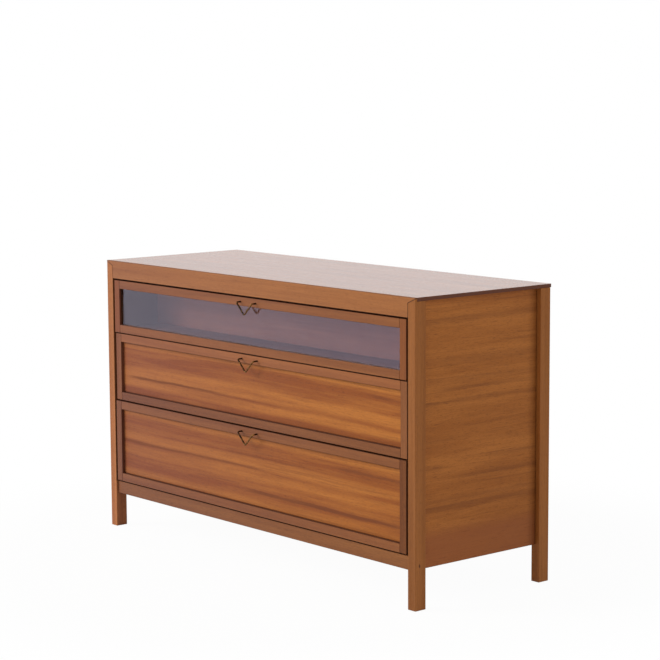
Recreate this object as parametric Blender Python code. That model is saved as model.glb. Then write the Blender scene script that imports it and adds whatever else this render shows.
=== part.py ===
"""Chest of drawers: a framed carcass and three side-hung drawers with framed fronts.

Units are metres and +Z is up. X runs along the front, -Y is the front, and the floor is Z = 0.
The origin lies on the floor, midway along the front, and midway between the pulls and the back of the top.
Each carcass piece is placed from the middle of the front, on the floor, and each drawer piece from the
middle of its drawer's front, at the lower edge.
"""

import math

import bmesh
import bpy
from mathutils import Quaternion, Vector

# Clearances
FIT = 0.0003                      # between two pieces that touch
CUT_PAST = 0.010                  # how far a cutter runs past the face it opens
EASE = 0.0006                     # flat on every worked edge

# Carcass
WIDTH = 1.200
DEPTH = 0.4312                    # front of the posts to back of the posts
POST_WIDTH = 0.025
POST_DEPTH = 0.032
LEG_CLEARANCE = 0.0904            # floor to the bottom rails and back panel
BOTTOM_RAIL_HEIGHT = 0.0324
BOTTOM_RAIL_DEPTH = 0.020
BOTTOM_RAIL_SETBACK = 0.0055
TOP_RAIL_HEIGHT = 0.0465
TOP_RAIL_DEPTH = 0.020
MITRE_OUTER_DROP = 0.0025         # top of the rail to the mitre, at the post's outer face
MITRE_INNER_DROP = 0.0135         # the same at the post's inner face
TENON_LENGTH = 0.012
TENON_SHOULDER = 0.006

# Top board
TOP_EDGE = 0.0085                 # edge that laps over the frame
TOP_THICKNESS = 0.018             # core that drops inside the frame
TOP_LIP = 0.005                   # wood of the front rail that shows in front of the board
TOP_BACK_OVERHANG = 0.0028

# Side, back and bottom panels
SIDE_PANEL_CLEARANCE = 0.0914     # floor to the side panels
SIDE_PANEL_SETBACK = 0.012
SIDE_TONGUE_LENGTH = 0.006
SIDE_TONGUE_SHOULDER = 0.004
BACK_PANEL_THICKNESS = 0.005
BACK_PANEL_SETBACK = 0.0037
BACK_PANEL_LAP = 0.008            # into the rebate of each back post
BACK_RAIL_DEPTH = 0.018
DUST_PANEL_THICKNESS = 0.005
DUST_PANEL_LIFT = 0.012           # underside of the bottom rails to the panel
DUST_PANEL_TONGUE = 0.005

# Drawer fronts, from the floor up
BOTTOM_DRAWER_HEIGHT = 0.2151
MIDDLE_DRAWER_HEIGHT = 0.1771
TOP_DRAWER_HEIGHT = 0.1383
GAP_UNDER_BOTTOM_DRAWER = 0.0037
GAP_UNDER_MIDDLE_DRAWER = 0.0029
GAP_UNDER_TOP_DRAWER = 0.0026
GAP_OVER_TOP_DRAWER = 0.0040
BOTTOM_DRAWER_SETBACK = 0.0006    # front of the posts to front of the closed drawer
MIDDLE_DRAWER_SETBACK = 0.0034
TOP_DRAWER_SETBACK = 0.0008
DRAWER_SIDE_GAP = 0.0057
STILE_WIDTH = 0.0224
UPPER_RAIL_HEIGHT = 0.0219
LOWER_RAIL_HEIGHT = 0.0213
FRAME_DEPTH = 0.020
PANEL_RECESS = 0.008
PANEL_THICKNESS = 0.006
PANEL_TONGUE = 0.005
GLASS_RECESS = 0.006
GLASS_THICKNESS = 0.004
GLASS_LAP = 0.005

# Drawer boxes and runners
BOX_INSET = 0.002                 # edge of the front to the box
BOX_LIFT = 0.005                  # lower edge of the front to the sides
BOX_DROP = 0.012                  # upper edge of the front to the sides
BOX_SIDE_THICKNESS = 0.014
BOX_BACK_THICKNESS = 0.012
BOX_BACK_DROP = 0.006             # top of the sides to the back
BOX_BACK_GAP = 0.006              # back of the box to the back rails
BOX_BOTTOM_THICKNESS = 0.005
BOX_BOTTOM_LIFT = 0.0035
BOX_BOTTOM_TONGUE = 0.005
DIVIDER_PLACE = 0.130             # front of the top drawer to its divider
DIVIDER_THICKNESS = 0.010
DIVIDER_HOUSING = 0.003           # into each drawer side
RUNNER_HEIGHT = 0.014
RUNNER_GRIP = 0.008               # how far the runner lies in the drawer side
RUNNER_CLEARANCE = 0.0008

# Pulls
PULL_WIRE = 0.004
PULL_SPREAD = 0.060               # between the prongs
PULL_LOWERED = 0.0115             # upper edge of the front to the prongs
PULL_DROP = 0.030                 # prongs to the point of the V
PULL_STANDOFF = 0.013             # front of the drawer to the middle of the wire
PULL_BEND = 0.004                 # radius of each bend, at the middle of the wire
PULL_BEND_STEPS = 5
PULL_SIDES = 3                    # bevel resolution of the wire
PULL_HOLE_CLEARANCE = 0.0004
PULL_END = 0.002                  # wire that shows past the nut
NUT_ACROSS_FLATS = 0.008
NUT_THICKNESS = 0.0032
HOLE_SIDES = 16

# Finishes: sRGB colour, roughness, metallic
FINISHES = {
    "post_wood": ((152, 98, 60), 0.38, 0.0),
    "rail_wood": ((165, 108, 72), 0.36, 0.0),
    "top_wood": ((150, 96, 68), 0.22, 0.0),
    "side_wood": ((136, 83, 44), 0.40, 0.0),
    "drawer_frame_wood": ((140, 90, 66), 0.38, 0.0),
    "drawer_panel_wood": ((160, 100, 66), 0.36, 0.0),
    "inner_wood": ((196, 158, 112), 0.60, 0.0),
    "plywood": ((188, 150, 108), 0.65, 0.0),
    "glass": ((205, 212, 214), 0.04, 0.0),
    "brass": ((150, 112, 58), 0.28, 1.0),
}

# Places worked out from the sizes
HALF = WIDTH / 2
POST_INNER = HALF - POST_WIDTH
BOTTOM_RAIL_TOP = LEG_CLEARANCE + BOTTOM_RAIL_HEIGHT
BOTTOM_DRAWER_LOW = BOTTOM_RAIL_TOP + GAP_UNDER_BOTTOM_DRAWER
MIDDLE_DRAWER_LOW = BOTTOM_DRAWER_LOW + BOTTOM_DRAWER_HEIGHT + GAP_UNDER_MIDDLE_DRAWER
TOP_DRAWER_LOW = MIDDLE_DRAWER_LOW + MIDDLE_DRAWER_HEIGHT + GAP_UNDER_TOP_DRAWER
TOP_RAIL_LOW = TOP_DRAWER_LOW + TOP_DRAWER_HEIGHT + GAP_OVER_TOP_DRAWER
HEIGHT = TOP_RAIL_LOW + TOP_RAIL_HEIGHT
BOARD_LOW = HEIGHT - TOP_EDGE
SIDE_PANEL_FACE = HALF - SIDE_PANEL_SETBACK
BACK_PANEL_FRONT = DEPTH - BACK_PANEL_SETBACK - BACK_PANEL_THICKNESS
BACK_RAIL_BACK = BACK_PANEL_FRONT - FIT
BACK_RAIL_FRONT = BACK_RAIL_BACK - BACK_RAIL_DEPTH
BACK_POST_FRONT = DEPTH - POST_DEPTH
FRONT_HALF = POST_INNER - DRAWER_SIDE_GAP
SIGHT_HALF = FRONT_HALF - STILE_WIDTH
BOX_HALF = FRONT_HALF - BOX_INSET
BOX_INNER_HALF = BOX_HALF - BOX_SIDE_THICKNESS
PULL_REACH = PULL_STANDOFF + PULL_WIRE / 2 - min(
    BOTTOM_DRAWER_SETBACK, MIDDLE_DRAWER_SETBACK, TOP_DRAWER_SETBACK)
FRONT_Y = (PULL_REACH - DEPTH - TOP_BACK_OVERHANG) / 2

SIDES = (("left", -1), ("right", 1))


# Scene and collections

def clear_scene():
    for obj in list(bpy.data.objects):
        bpy.data.objects.remove(obj)


def new_collection(name):
    collection = bpy.data.collections.new(name)
    bpy.context.scene.collection.children.link(collection)
    return collection


def new_empty(name, location, parent=None):
    """A point that pieces are placed from."""
    empty = bpy.data.objects.new(name, None)
    empty.location = location
    empty.parent = parent
    PARTS.objects.link(empty)
    return empty


# Finishes

def linear(channel):
    """The linear value of an sRGB channel given from 0 to 255."""
    value = channel / 255
    if value <= 0.04045:
        return value / 12.92
    return ((value + 0.055) / 1.055) ** 2.4


def give_finish(obj, finish):
    colour, roughness, metallic = FINISHES[finish]
    material = bpy.data.materials.new(obj.name + "_" + finish)
    material.use_nodes = True
    shader = material.node_tree.nodes["Principled BSDF"]
    shader.inputs["Base Color"].default_value = [linear(channel) for channel in colour] + [1.0]
    shader.inputs["Roughness"].default_value = roughness
    shader.inputs["Metallic"].default_value = metallic
    obj.data.materials.clear()
    obj.data.materials.append(material)


# Shapes

def place(name, mesh, location, parent, finish=None):
    """An object for a mesh: a piece where it has a finish, and a cutter where it has none."""
    obj = bpy.data.objects.new(name, mesh)
    obj.location = location
    obj.parent = parent
    if finish:
        PARTS.objects.link(obj)
        give_finish(obj, finish)
    else:
        CUTTERS.objects.link(obj)
        obj.hide_render = True
        obj.display_type = "WIRE"
    return obj


def spans(first, second):
    """The two corners of a box from two opposite corners, lowest values first."""
    low = Vector(min(a, b) for a, b in zip(first, second))
    high = Vector(max(a, b) for a, b in zip(first, second))
    return low, high


def box_mesh(name, size, ease):
    bm = bmesh.new()
    bmesh.ops.create_cube(bm, size=1.0)
    bmesh.ops.scale(bm, vec=size, verts=bm.verts)
    if ease:
        bmesh.ops.bevel(bm, geom=bm.edges[:], offset=ease, segments=1, profile=0.5, affect="EDGES")
    mesh = bpy.data.meshes.new(name)
    bm.to_mesh(mesh)
    bm.free()
    return mesh


def board(name, first, second, parent, finish):
    """A straight piece with eased edges, between two opposite corners."""
    low, high = spans(first, second)
    return place(name, box_mesh(name, high - low, EASE), (low + high) / 2, parent, finish)


def room(name, first, second, parent):
    """A square-edged cutter between two opposite corners."""
    low, high = spans(first, second)
    return place(name, box_mesh(name, high - low, 0), (low + high) / 2, parent)


def tongue(obj, axis, shoulders, length):
    """Draws a tongue out of both ends of a board along an axis, set in by a shoulder on each side."""
    bm = bmesh.new()
    bm.from_mesh(obj.data)
    ends = [face for face in bm.faces if abs(face.normal[axis]) > 0.999]
    for face in ends:
        outward = face.normal.copy()
        drawn = bmesh.ops.extrude_discrete_faces(bm, faces=[face])["faces"][0]
        middle = drawn.calc_center_median()
        for vert in drawn.verts:
            for side, shoulder in shoulders.items():
                vert.co[side] -= math.copysign(shoulder - EASE, vert.co[side] - middle[side])
        tip = bmesh.ops.extrude_discrete_faces(bm, faces=[drawn])["faces"][0]
        bmesh.ops.translate(bm, vec=outward * length, verts=tip.verts)
    bm.to_mesh(obj.data)
    bm.free()


def prism(name, outline, front, back, parent, finish=None):
    """A flat outline in X and Z, drawn from front to back."""
    curve = bpy.data.curves.new(name + "_outline", "CURVE")
    curve.dimensions = "2D"
    curve.fill_mode = "BOTH"
    curve.extrude = (back - front) / 2
    spline = curve.splines.new("POLY")
    spline.points.add(len(outline) - 1)
    for point, (x, z) in zip(spline.points, outline):
        point.co = (x, z, 0, 1)
    spline.use_cyclic_u = True
    mesh = mesh_of_curve(name, curve)
    upright = bmesh.new()
    upright.from_mesh(mesh)
    for vert in upright.verts:
        x, z, depth = vert.co
        vert.co = (x, -depth, z)
    upright.to_mesh(mesh)
    upright.free()
    return place(name, mesh, (0, (front + back) / 2, 0), parent, finish)


def mesh_of_curve(name, curve):
    """A closed mesh of a curve, with its caps welded."""
    drawn = bpy.data.objects.new(name + "_curve", curve)
    bpy.context.scene.collection.objects.link(drawn)
    bpy.context.view_layer.update()
    evaluated = drawn.evaluated_get(bpy.context.evaluated_depsgraph_get())
    mesh = bpy.data.meshes.new_from_object(evaluated)
    mesh.name = name
    bpy.data.objects.remove(drawn)
    bm = bmesh.new()
    bm.from_mesh(mesh)
    bmesh.ops.remove_doubles(bm, verts=bm.verts, dist=1e-6)
    bm.to_mesh(mesh)
    bm.free()
    return mesh


def rod_mesh(name, radius, length, sides):
    """A straight rod along Y."""
    bm = bmesh.new()
    bmesh.ops.create_cone(bm, cap_ends=True, segments=sides, radius1=radius, radius2=radius, depth=length)
    for vert in bm.verts:
        x, y, z = vert.co
        vert.co = (x, z, -y)
    mesh = bpy.data.meshes.new(name)
    bm.to_mesh(mesh)
    bm.free()
    return mesh


def boolean(obj, other, operation):
    modifier = obj.modifiers.new(operation.lower() + "_" + other.name, "BOOLEAN")
    modifier.operation = operation
    modifier.object = other


def cut(pieces, *cutters):
    for piece in pieces:
        for cutter in cutters:
            boolean(piece, cutter, "DIFFERENCE")


# Carcass

def mitre_height(x):
    """Height of the mitre between the front top rail and a post, at a distance from the middle."""
    slope = (MITRE_INNER_DROP - MITRE_OUTER_DROP) / POST_WIDTH
    return HEIGHT - MITRE_INNER_DROP + slope * (x - POST_INNER)


def front_top_rail(parent):
    """The rail under the top's front edge, whose ends lie over the posts, cut to the mitre."""
    right = [
        (POST_INNER - FIT, TOP_RAIL_LOW),
        (POST_INNER - FIT, mitre_height(POST_INNER - FIT)),
        (HALF, mitre_height(HALF)),
        (HALF, HEIGHT),
    ]
    left = [(-x, z) for x, z in reversed(right)]
    return prism("front_top_rail", right + left, 0, TOP_RAIL_DEPTH, parent, "rail_wood")


def posts(parent):
    """The four posts, each with the grooves of the panels that it holds."""
    made = {}
    for side, sign in SIDES:
        for end, front in (("front", 0), ("back", BACK_POST_FRONT)):
            top = HEIGHT if end == "front" else BOARD_LOW - FIT
            made[end, side] = board(
                f"{end}_{side}_post",
                (sign * POST_INNER, front, 0), (sign * HALF, front + POST_DEPTH, top),
                parent, "post_wood")
    return made


def mitre_room(side, sign, parent):
    """All that lies over the mitre of one front post."""
    past = HALF + CUT_PAST
    start = POST_INNER - CUT_PAST
    outline = [
        (sign * start, mitre_height(start) - FIT),
        (sign * past, mitre_height(past) - FIT),
        (sign * past, HEIGHT + CUT_PAST),
        (sign * start, HEIGHT + CUT_PAST),
    ]
    return prism(f"mitre_room_{side}", outline, -CUT_PAST, POST_DEPTH + CUT_PAST, parent)


def top_board(parent):
    """A board whose thin edge laps over the frame, with a core that drops inside it."""
    top = board(
        "top_board", (-HALF, TOP_LIP + FIT, BOARD_LOW), (HALF, DEPTH + TOP_BACK_OVERHANG, HEIGHT),
        parent, "top_wood")
    core_half = POST_INNER - FIT
    core = room(
        "top_core", (-core_half, TOP_RAIL_DEPTH + FIT, HEIGHT - TOP_THICKNESS),
        (core_half, BACK_RAIL_FRONT - FIT, HEIGHT - TOP_EDGE / 2), parent)
    boolean(top, core, "UNION")
    return top


def side_panel(side, sign, parent):
    """A panel with a tongue along its front and back edges."""
    panel = board(
        f"{side}_side_panel",
        (sign * POST_INNER, POST_DEPTH + FIT, SIDE_PANEL_CLEARANCE),
        (sign * SIDE_PANEL_FACE, BACK_POST_FRONT - FIT, BOARD_LOW - FIT),
        parent, "side_wood")
    tongue(panel, 1, {0: SIDE_TONGUE_SHOULDER}, SIDE_TONGUE_LENGTH)
    groove = room(
        f"{side}_panel_groove",
        (sign * (POST_INNER + SIDE_TONGUE_SHOULDER - FIT), POST_DEPTH - SIDE_TONGUE_LENGTH,
         SIDE_PANEL_CLEARANCE - FIT),
        (sign * (SIDE_PANEL_FACE - SIDE_TONGUE_SHOULDER + FIT),
         BACK_POST_FRONT + SIDE_TONGUE_LENGTH, HEIGHT + CUT_PAST),
        parent)
    return panel, groove


def carcass_rail(name, front, low, high, depth, parent, finish):
    """A rail between two posts with a tenon at each end, and the cutter of its mortises."""
    reach = POST_INNER - FIT
    rail = board(name, (-reach, front, low), (reach, front + depth, high), parent, finish)
    tongue(rail, 0, {1: TENON_SHOULDER, 2: TENON_SHOULDER}, TENON_LENGTH)
    inset = TENON_SHOULDER - FIT
    end = reach + TENON_LENGTH + FIT
    mortise = room(
        name + "_mortise", (-end, front + inset, low + inset), (end, front + depth - inset, high - inset), parent)
    return rail, mortise


def runner(drawer, side, sign, parent):
    """A strip on the inside of the carcass that carries one side of a drawer and stops it when it is shut."""
    return board(
        f"{drawer.name}_{side}_runner",
        (sign * (POST_INNER - FIT), drawer.setback + FRAME_DEPTH + FIT, drawer.low + drawer.runner_low),
        (sign * (BOX_HALF - RUNNER_GRIP), BACK_POST_FRONT, drawer.low + drawer.runner_low + RUNNER_HEIGHT),
        parent, "inner_wood")


def build_carcass(drawers):
    carcass = new_empty("carcass", (0, FRONT_Y, 0))
    post = posts(carcass)
    front_posts = [post["front", side] for side, sign in SIDES]
    back_posts = [post["back", side] for side, sign in SIDES]

    board_room = room(
        "top_board_room", (-HALF - CUT_PAST, TOP_LIP, BOARD_LOW - FIT),
        (HALF + CUT_PAST, DEPTH + TOP_BACK_OVERHANG + CUT_PAST, HEIGHT + CUT_PAST), carcass)
    cut([front_top_rail(carcass)] + front_posts, board_room)
    top_board(carcass)

    front_rail, front_mortise = carcass_rail(
        "front_bottom_rail", BOTTOM_RAIL_SETBACK, LEG_CLEARANCE, BOTTOM_RAIL_TOP,
        BOTTOM_RAIL_DEPTH, carcass, "rail_wood")
    cut(front_posts, front_mortise)
    back_rail, back_mortise = carcass_rail(
        "back_bottom_rail", BACK_RAIL_FRONT, LEG_CLEARANCE, BOTTOM_RAIL_TOP,
        BACK_RAIL_DEPTH, carcass, "inner_wood")
    upper_back_rail, upper_back_mortise = carcass_rail(
        "back_top_rail", BACK_RAIL_FRONT, TOP_RAIL_LOW, BOARD_LOW - FIT,
        BACK_RAIL_DEPTH, carcass, "inner_wood")
    cut(back_posts, back_mortise, upper_back_mortise)

    lap = POST_INNER + BACK_PANEL_LAP
    board(
        "back_panel", (-lap, BACK_PANEL_FRONT, LEG_CLEARANCE),
        (lap, BACK_PANEL_FRONT + BACK_PANEL_THICKNESS, BOARD_LOW - FIT), carcass, "plywood")
    back_rebate = room(
        "back_panel_rebate", (-lap - FIT, BACK_PANEL_FRONT - FIT, LEG_CLEARANCE - FIT),
        (lap + FIT, DEPTH + CUT_PAST, HEIGHT + CUT_PAST), carcass)
    cut(back_posts, back_rebate)

    dust_half = POST_INNER - FIT
    dust_low = LEG_CLEARANCE + DUST_PANEL_LIFT
    dust_front = BOTTOM_RAIL_SETBACK + BOTTOM_RAIL_DEPTH - DUST_PANEL_TONGUE
    dust_back = BACK_RAIL_FRONT + DUST_PANEL_TONGUE
    board(
        "dust_panel", (-dust_half, dust_front, dust_low),
        (dust_half, dust_back, dust_low + DUST_PANEL_THICKNESS), carcass, "plywood")
    dust_room = room(
        "dust_panel_room", (-POST_INNER, dust_front - FIT, dust_low - FIT),
        (POST_INNER, dust_back + FIT, dust_low + DUST_PANEL_THICKNESS + FIT), carcass)
    cut([front_rail, back_rail], dust_room)

    for side, sign in SIDES:
        panel, groove = side_panel(side, sign, carcass)
        cut([post["front", side], post["back", side]], groove)
        cut([post["front", side]], mitre_room(side, sign, carcass))
        for drawer in drawers:
            runner(drawer, side, sign, carcass)
    return carcass


# Drawers

class Drawer:
    """The sizes and places of one drawer."""

    def __init__(self, name, low, height, setback, glazed):
        self.name = name
        self.low = low
        self.height = height
        self.setback = setback
        self.glazed = glazed
        self.box_top = height - BOX_DROP
        self.box_back = BACK_RAIL_FRONT - BOX_BACK_GAP - setback
        self.runner_low = (BOX_LIFT + self.box_top - RUNNER_HEIGHT) / 2
        self.upper_sight = height - UPPER_RAIL_HEIGHT
        self.pull_height = height - PULL_LOWERED


def drawer_frame(drawer, parent):
    """Two stiles and two rails, tenoned together."""
    stiles = [
        board(
            f"{drawer.name}_{side}_stile", (sign * SIGHT_HALF, 0, 0),
            (sign * FRONT_HALF, FRAME_DEPTH, drawer.height), parent, "drawer_frame_wood")
        for side, sign in SIDES]
    rails = {}
    reach = SIGHT_HALF - FIT
    for part, low, high in (("lower", 0, LOWER_RAIL_HEIGHT), ("upper", drawer.upper_sight, drawer.height)):
        name = f"{drawer.name}_{part}_rail"
        rail = board(name, (-reach, 0, low), (reach, FRAME_DEPTH, high), parent, "drawer_frame_wood")
        tongue(rail, 0, {1: TENON_SHOULDER, 2: TENON_SHOULDER}, TENON_LENGTH)
        inset = TENON_SHOULDER - FIT
        end = reach + TENON_LENGTH + FIT
        mortise = room(
            name + "_mortise", (-end, inset, low + inset), (end, FRAME_DEPTH - inset, high - inset), parent)
        cut(stiles, mortise)
        rails[part] = rail
    return stiles, rails


def wood_panel(drawer, frame, parent):
    """A flat panel in a groove all round the frame."""
    half = SIGHT_HALF + PANEL_TONGUE
    low = LOWER_RAIL_HEIGHT - PANEL_TONGUE
    high = drawer.upper_sight + PANEL_TONGUE
    back = PANEL_RECESS + PANEL_THICKNESS
    board(drawer.name + "_panel", (-half, PANEL_RECESS, low), (half, back, high), parent, "drawer_panel_wood")
    groove = room(
        drawer.name + "_panel_groove", (-half - FIT, PANEL_RECESS - FIT, low - FIT),
        (half + FIT, back + FIT, high + FIT), parent)
    cut(frame, groove)


def glass_pane(drawer, frame, parent):
    """A pane in a rebate at the back of the frame, held by four beads."""
    half = SIGHT_HALF + GLASS_LAP
    low = LOWER_RAIL_HEIGHT - GLASS_LAP
    high = drawer.upper_sight + GLASS_LAP
    back = GLASS_RECESS + GLASS_THICKNESS
    board(drawer.name + "_glass", (-half, GLASS_RECESS, low), (half, back, high), parent, "glass")
    rebate = room(
        drawer.name + "_rebate", (-half - FIT, GLASS_RECESS - FIT, low - FIT),
        (half + FIT, FRAME_DEPTH + CUT_PAST, high + FIT), parent)
    cut(frame, rebate)
    for part, edge, sight in (("lower", low, LOWER_RAIL_HEIGHT), ("upper", high, drawer.upper_sight)):
        board(
            f"{drawer.name}_{part}_bead", (-half, back + FIT, edge), (half, FRAME_DEPTH, sight),
            parent, "inner_wood")
    for side, sign in SIDES:
        board(
            f"{drawer.name}_{side}_bead", (sign * SIGHT_HALF, back + FIT, LOWER_RAIL_HEIGHT + FIT),
            (sign * half, FRAME_DEPTH, drawer.upper_sight - FIT), parent, "inner_wood")


def drawer_box(drawer, stiles, rails, parent):
    """Sides with runner grooves, a back, and a bottom in grooves."""
    front = FRAME_DEPTH + FIT
    sides = []
    for side, sign in SIDES:
        wall = board(
            f"{drawer.name}_{side}_side", (sign * BOX_INNER_HALF, front, BOX_LIFT),
            (sign * BOX_HALF, drawer.box_back, drawer.box_top), parent, "inner_wood")
        groove = room(
            f"{drawer.name}_{side}_runner_groove",
            (sign * (BOX_HALF - RUNNER_GRIP - RUNNER_CLEARANCE), front - CUT_PAST,
             drawer.runner_low - RUNNER_CLEARANCE),
            (sign * (BOX_HALF + CUT_PAST), drawer.box_back + CUT_PAST, drawer.runner_low + RUNNER_HEIGHT + FIT),
            parent)
        cut([wall], groove)
        sides.append(wall)

    half = BOX_INNER_HALF + BOX_BOTTOM_TONGUE
    low = BOX_LIFT + BOX_BOTTOM_LIFT
    high = low + BOX_BOTTOM_THICKNESS
    bottom_front = FRAME_DEPTH - BOX_BOTTOM_TONGUE
    board(
        drawer.name + "_bottom", (-half, bottom_front, low), (half, drawer.box_back, high), parent, "plywood")
    bottom_groove = room(
        drawer.name + "_bottom_groove", (-half - FIT, bottom_front - FIT, low - FIT),
        (half + FIT, drawer.box_back + CUT_PAST, high + FIT), parent)
    cut(sides + stiles + [rails["lower"]], bottom_groove)

    back_half = BOX_INNER_HALF - FIT
    board(
        drawer.name + "_back", (-back_half, drawer.box_back - BOX_BACK_THICKNESS, high + FIT),
        (back_half, drawer.box_back, drawer.box_top - BOX_BACK_DROP), parent, "inner_wood")
    if drawer.glazed:
        divider(drawer, sides, high + FIT, parent)


def divider(drawer, sides, low, parent):
    """A board across the box behind the pane, housed in both sides."""
    half = BOX_INNER_HALF + DIVIDER_HOUSING
    back = DIVIDER_PLACE + DIVIDER_THICKNESS
    board(
        drawer.name + "_divider", (-half, DIVIDER_PLACE, low), (half, back, drawer.box_top),
        parent, "inner_wood")
    housing = room(
        drawer.name + "_divider_housing", (-half - FIT, DIVIDER_PLACE - FIT, low - FIT),
        (half + FIT, back + FIT, drawer.box_top + CUT_PAST), parent)
    cut(sides, housing)


def rounded_route(corners, radius, steps):
    """Points along straight runs between corners, with each inner corner rounded to an arc."""
    route = [corners[0]]
    for before, corner, after in zip(corners, corners[1:], corners[2:]):
        to_before = (before - corner).normalized()
        to_after = (after - corner).normalized()
        half_angle = to_before.angle(to_after) / 2
        centre = corner + (to_before + to_after).normalized() * (radius / math.sin(half_angle))
        start = corner + to_before * (radius / math.tan(half_angle)) - centre
        end = corner + to_after * (radius / math.tan(half_angle)) - centre
        axis, turn = start.rotation_difference(end).to_axis_angle()
        for step in range(steps + 1):
            route.append(centre + Quaternion(axis, turn * step / steps) @ start)
    route.append(corners[-1])
    return route


def pull(drawer, upper_rail, parent):
    """A wire bent to a V that stands off the front on two prongs, with a nut on each prong."""
    half = PULL_SPREAD / 2
    height = drawer.pull_height
    prong_end = FRAME_DEPTH + FIT + NUT_THICKNESS + PULL_END
    corners = [
        Vector((-half, prong_end, height)),
        Vector((-half, -PULL_STANDOFF, height)),
        Vector((0, -PULL_STANDOFF, height - PULL_DROP)),
        Vector((half, -PULL_STANDOFF, height)),
        Vector((half, prong_end, height)),
    ]
    route = rounded_route(corners, PULL_BEND, PULL_BEND_STEPS)
    name = drawer.name + "_pull"
    curve = bpy.data.curves.new(name + "_route", "CURVE")
    curve.dimensions = "3D"
    curve.bevel_depth = PULL_WIRE / 2
    curve.bevel_resolution = PULL_SIDES
    curve.use_fill_caps = True
    spline = curve.splines.new("POLY")
    spline.points.add(len(route) - 1)
    for point, where in zip(spline.points, route):
        point.co = (*where, 1)
    mesh = mesh_of_curve(name, curve)
    mesh.shade_smooth()
    mesh.set_sharp_from_angle(angle=math.radians(50))
    place(name, mesh, (0, 0, 0), parent, "brass")

    hole_radius = PULL_WIRE / 2 + PULL_HOLE_CLEARANCE
    nut_radius = NUT_ACROSS_FLATS / math.sqrt(3)
    nut_middle = FRAME_DEPTH + FIT + NUT_THICKNESS / 2
    for side, sign in SIDES:
        hole = place(
            f"{name}_{side}_hole",
            rod_mesh(f"{name}_{side}_hole", hole_radius, FRAME_DEPTH + 2 * CUT_PAST, HOLE_SIDES),
            (sign * half, FRAME_DEPTH / 2, height), parent)
        nut = place(
            f"{name}_{side}_nut", rod_mesh(f"{name}_{side}_nut", nut_radius, NUT_THICKNESS, 6),
            (sign * half, nut_middle, height), parent, "brass")
        cut([upper_rail, nut], hole)


def build_drawer(drawer, carcass):
    slide = new_empty(drawer.name + "_slide", (0, drawer.setback, drawer.low), carcass)
    stiles, rails = drawer_frame(drawer, slide)
    frame = stiles + list(rails.values())
    if drawer.glazed:
        glass_pane(drawer, frame, slide)
    else:
        wood_panel(drawer, frame, slide)
    drawer_box(drawer, stiles, rails, slide)
    pull(drawer, rails["upper"], slide)


clear_scene()
PARTS = new_collection("chest_of_drawers")
CUTTERS = new_collection("cutters")
DRAWERS = (
    Drawer("bottom_drawer", BOTTOM_DRAWER_LOW, BOTTOM_DRAWER_HEIGHT, BOTTOM_DRAWER_SETBACK, False),
    Drawer("middle_drawer", MIDDLE_DRAWER_LOW, MIDDLE_DRAWER_HEIGHT, MIDDLE_DRAWER_SETBACK, False),
    Drawer("top_drawer", TOP_DRAWER_LOW, TOP_DRAWER_HEIGHT, TOP_DRAWER_SETBACK, True),
)
CARCASS = build_carcass(DRAWERS)
for each in DRAWERS:
    build_drawer(each, CARCASS)
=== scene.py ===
"""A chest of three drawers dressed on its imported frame: wood, glass and brass finishes, bent wire pulls,
nuts and panel pins, in a plain studio."""

import math
from collections import namedtuple

import bpy
from mathutils import Matrix, Vector


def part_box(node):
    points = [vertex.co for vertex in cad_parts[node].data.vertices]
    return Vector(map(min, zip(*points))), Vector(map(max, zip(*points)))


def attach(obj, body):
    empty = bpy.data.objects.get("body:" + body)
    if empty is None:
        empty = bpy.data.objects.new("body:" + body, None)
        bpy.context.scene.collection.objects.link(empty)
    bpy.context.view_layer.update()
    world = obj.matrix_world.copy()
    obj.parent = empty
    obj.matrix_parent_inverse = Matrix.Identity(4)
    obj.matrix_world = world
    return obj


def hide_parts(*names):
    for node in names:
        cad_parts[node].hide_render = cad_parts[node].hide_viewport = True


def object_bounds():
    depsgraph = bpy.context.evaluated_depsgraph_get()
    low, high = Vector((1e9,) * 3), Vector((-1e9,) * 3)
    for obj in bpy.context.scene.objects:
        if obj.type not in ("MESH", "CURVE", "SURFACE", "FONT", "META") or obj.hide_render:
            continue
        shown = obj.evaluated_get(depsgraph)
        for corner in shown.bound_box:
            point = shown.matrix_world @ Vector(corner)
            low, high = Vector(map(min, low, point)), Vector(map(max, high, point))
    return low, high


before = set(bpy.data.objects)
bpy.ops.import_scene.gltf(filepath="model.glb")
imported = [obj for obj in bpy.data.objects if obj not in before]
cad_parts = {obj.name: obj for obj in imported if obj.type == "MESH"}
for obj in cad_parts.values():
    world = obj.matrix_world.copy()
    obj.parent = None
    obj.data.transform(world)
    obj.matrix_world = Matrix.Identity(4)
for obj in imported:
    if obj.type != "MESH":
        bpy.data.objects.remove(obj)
CAD_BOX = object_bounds()

bl_info = {
    "name": "Chest of drawers",
    "version": (1, 0, 0),
    "blender": (4, 5, 0),
    "location": "View3D > Sidebar > Chest",
    "description": "Finishes, pulls and fasteners of a framed chest with three drawers",
    "category": "Object",
}

DRAWERS = ("top_drawer", "middle_drawer", "bottom_drawer")
SIDES = ("left", "right")
X, Y, Z = 0, 1, 2


# Colours and sizes a user may change

def linear(channel):
    """One display channel from 0 to 255 as the linear value that Blender keeps."""
    value = channel / 255
    if value <= 0.04045:
        return value / 12.92
    return ((value + 0.055) / 1.055) ** 2.4


def tone(name, description, red, green, blue):
    """A colour property, its default written as display channels."""
    return bpy.props.FloatVectorProperty(
        name=name, description=description, subtype="COLOR", size=3, min=0, max=1,
        default=(linear(red), linear(green), linear(blue)))


def number(name, description, default, **kind):
    """A number property. kind gives its unit, subtype or limits."""
    return bpy.props.FloatProperty(name=name, description=description, default=default, **kind)


def length(name, description, metres):
    """A length property in metres."""
    return number(name, description, metres, unit="LENGTH", subtype="DISTANCE", min=0)


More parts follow.
